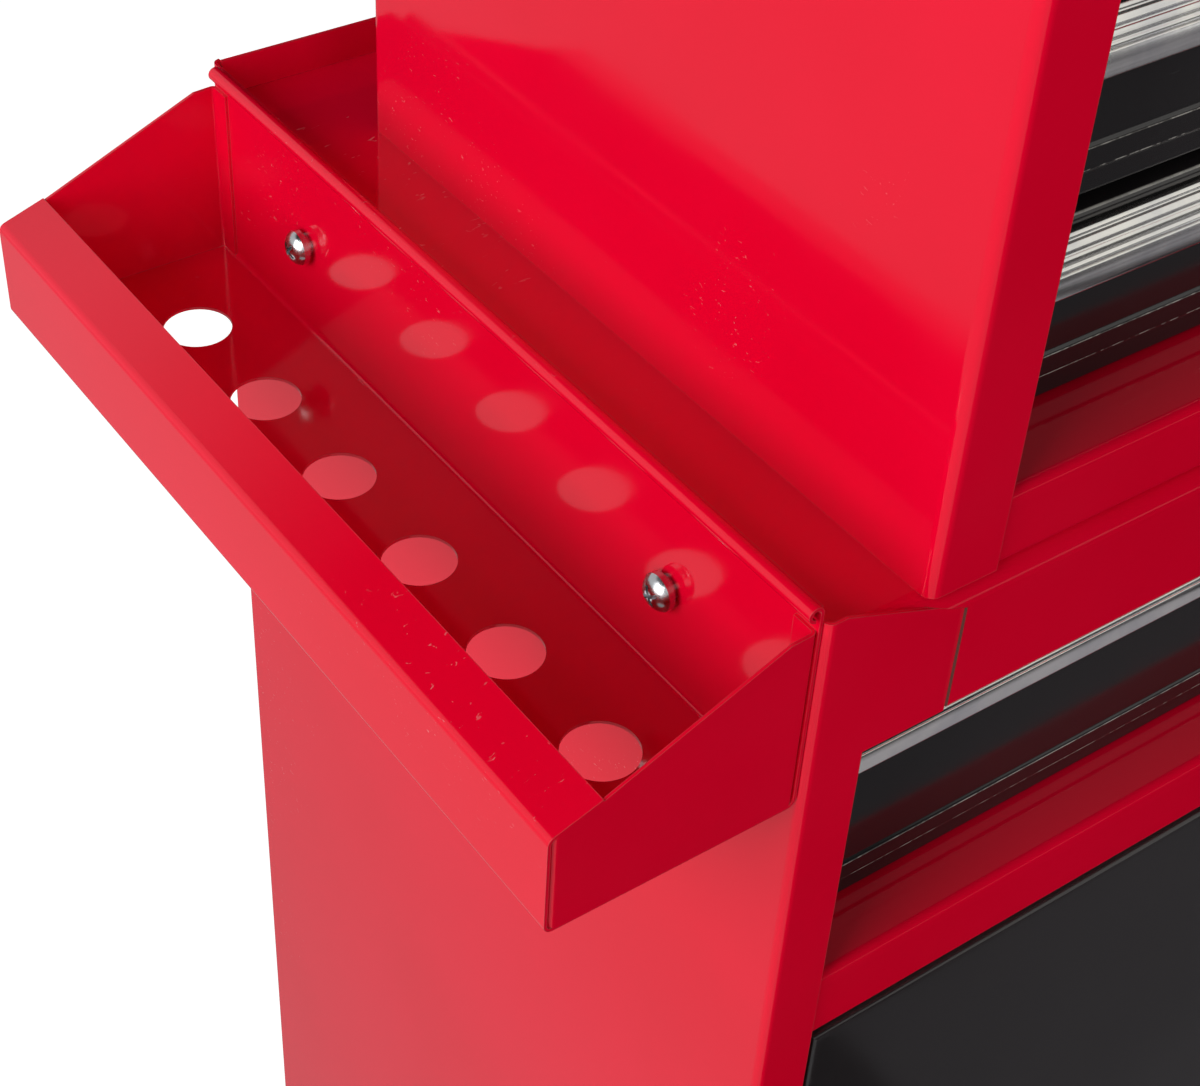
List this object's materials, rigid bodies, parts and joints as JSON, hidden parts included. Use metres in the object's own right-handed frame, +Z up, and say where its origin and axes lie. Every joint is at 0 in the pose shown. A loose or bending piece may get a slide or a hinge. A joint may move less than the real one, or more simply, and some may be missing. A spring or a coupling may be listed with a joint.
{
  "type": "rolling tool cabinet",
  "caption": "Folded sheet-steel tool chest in the recessed top of a rolling cabinet with drawers, a door, a lid, a push handle and a side tray with tool holes.",
  "frame": {"origin": "on the floor under the middle of the whole outline, with the side tray and the push handle counted", "axes": "+Z up, -Y towards the front with the drawers and the door, -X towards the side tray"},
  "size_m": [0.639, 0.336, 1.077],
  "materials": {
    "red_enamel": "glossy red powder coat on steel sheet",
    "black_enamel": "glossy black powder coat on steel sheet",
    "trim_aluminium": "bright extruded aluminium",
    "zinc_steel": "zinc-plated steel",
    "chrome_plate": "polished chrome plate",
    "wheel_rubber": "moulded dark rubber",
    "black_plastic": "moulded black plastic around a magnet"
  },
  "bodies": {
    "base": {"base_left_side": "red_enamel", "base_right_side": "red_enamel", "base_back": "red_enamel", "base_top": "red_enamel", "base_rail": "red_enamel", "base_floor": "red_enamel", "base_uprights": "red_enamel", "base_drawer_channels": "zinc_steel", "shelf": "red_enamel", "shelf_clips": "zinc_steel", "door_hinge_pins": "zinc_steel", "door_catch": "black_plastic", "side_tray": "red_enamel", "tray_screws": "zinc_steel", "tray_nuts": "zinc_steel", "push_handle": "chrome_plate", "handle_flanges": "chrome_plate", "caster_plates": "zinc_steel", "caster_bolts": "zinc_steel", "fixed_forks": "zinc_steel", "fixed_axles": "zinc_steel"},
    "base_drawer": {"base_drawer": "black_enamel", "base_drawer_pull": "trim_aluminium", "base_drawer_runners": "zinc_steel"},
    "door": {"door": "black_enamel", "door_lock_body": "chrome_plate"},
    "door_lock": {"door_lock_plug": "chrome_plate"},
    "chest": {"chest_casing": "red_enamel", "chest_floor": "red_enamel", "chest_header": "red_enamel", "chest_till": "red_enamel", "chest_uprights": "red_enamel", "chest_drawer_channels": "zinc_steel", "lid_hinge_fixed_leaf": "zinc_steel", "lid_lock_body": "chrome_plate"},
    "lid": {"lid": "red_enamel", "lid_hinge_lid_leaf": "zinc_steel"},
    "lid_lock": {"lid_lock_plug": "chrome_plate"},
    "chest_drawer_1": {"chest_drawer_1": "black_enamel", "chest_drawer_1_pull": "trim_aluminium", "chest_drawer_1_runners": "zinc_steel"},
    "chest_drawer_2": {"chest_drawer_2": "black_enamel", "chest_drawer_2_pull": "trim_aluminium", "chest_drawer_2_runners": "zinc_steel"},
    "chest_drawer_3": {"chest_drawer_3": "black_enamel", "chest_drawer_3_pull": "trim_aluminium", "chest_drawer_3_runners": "zinc_steel"},
    "chest_drawer_4": {"chest_drawer_4": "black_enamel", "chest_drawer_4_pull": "trim_aluminium", "chest_drawer_4_runners": "zinc_steel"},
    "caster_front": {"swivel_fork_front": "zinc_steel", "swivel_axle_front": "zinc_steel"},
    "caster_wheel_front": {"swivel_wheel_front": "wheel_rubber"},
    "caster_brake_front": {"brake_front": "zinc_steel"},
    "fixed_wheel_front": {"fixed_wheel_front": "wheel_rubber"},
    "caster_rear": {"swivel_fork_rear": "zinc_steel", "swivel_axle_rear": "zinc_steel"},
    "caster_wheel_rear": {"swivel_wheel_rear": "wheel_rubber"},
    "caster_brake_rear": {"brake_rear": "zinc_steel"},
    "fixed_wheel_rear": {"fixed_wheel_rear": "wheel_rubber"}
  },
  "joints": [
    {"name": "chest_lift", "type": "slide", "parent": "base", "child": "chest", "axis": [0, 0, 1], "range_m": [0, 0.06]},
    {"name": "chest_drawer_1_slide", "type": "slide", "parent": "chest", "child": "chest_drawer_1", "axis": [0, -1, 0], "range_m": [0, 0.175]},
    {"name": "chest_drawer_2_slide", "type": "slide", "parent": "chest", "child": "chest_drawer_2", "axis": [0, -1, 0], "range_m": [0, 0.175]},
    {"name": "chest_drawer_3_slide", "type": "slide", "parent": "chest", "child": "chest_drawer_3", "axis": [0, -1, 0], "range_m": [0, 0.175]},
    {"name": "chest_drawer_4_slide", "type": "slide", "parent": "chest", "child": "chest_drawer_4", "axis": [0, -1, 0], "range_m": [0, 0.175]},
    {"name": "base_drawer_slide", "type": "slide", "parent": "base", "child": "base_drawer", "axis": [0, -1, 0], "range_m": [0, 0.21]},
    {"name": "door_hinge", "type": "hinge", "parent": "base", "child": "door", "pos_m": [-0.203, -0.155, 0.341], "axis": [0, 0, -1], "range_deg": [0, 105]},
    {"name": "door_lock_turn", "type": "hinge", "parent": "door", "child": "door_lock", "pos_m": [0.228, -0.163, 0.488], "axis": [0, -1, 0], "range_deg": [0, 90]},
    {"name": "lid_hinge", "type": "hinge", "parent": "chest", "child": "lid", "pos_m": [0.0195, 0.1256, 1.0484], "axis": [-1, 0, 0], "range_deg": [0, 95]},
    {"name": "lid_lock_turn", "type": "hinge", "parent": "chest", "child": "lid_lock", "pos_m": [0.0195, -0.162, 1.038], "axis": [0, 1, 0], "range_deg": [0, 90]},
    {"name": "caster_swivel_front", "type": "hinge", "parent": "base", "child": "caster_front", "pos_m": [0.2295, -0.111, 0.083], "axis": [0, 0, 1], "continuous": true},
    {"name": "caster_roll_front", "type": "hinge", "parent": "caster_front", "child": "caster_wheel_front", "pos_m": [0.2515, -0.111, 0.0375], "axis": [0, 1, 0], "continuous": true},
    {"name": "brake_press_front", "type": "hinge", "parent": "caster_front", "child": "caster_brake_front", "pos_m": [0.2595, -0.111, 0.081], "axis": [0, 1, 0], "range_deg": [0, 20]},
    {"name": "fixed_wheel_roll_front", "type": "hinge", "parent": "base", "child": "fixed_wheel_front", "pos_m": [-0.1905, -0.111, 0.0375], "axis": [0, 1, 0], "continuous": true},
    {"name": "caster_swivel_rear", "type": "hinge", "parent": "base", "child": "caster_rear", "pos_m": [0.2295, 0.116, 0.083], "axis": [0, 0, 1], "continuous": true},
    {"name": "caster_roll_rear", "type": "hinge", "parent": "caster_rear", "child": "caster_wheel_rear", "pos_m": [0.2515, 0.116, 0.0375], "axis": [0, 1, 0], "continuous": true},
    {"name": "brake_press_rear", "type": "hinge", "parent": "caster_rear", "child": "caster_brake_rear", "pos_m": [0.2595, 0.116, 0.081], "axis": [0, 1, 0], "range_deg": [0, 20]},
    {"name": "fixed_wheel_roll_rear", "type": "hinge", "parent": "base", "child": "fixed_wheel_rear", "pos_m": [-0.1905, 0.116, 0.0375], "axis": [0, 1, 0], "continuous": true}
  ]
}
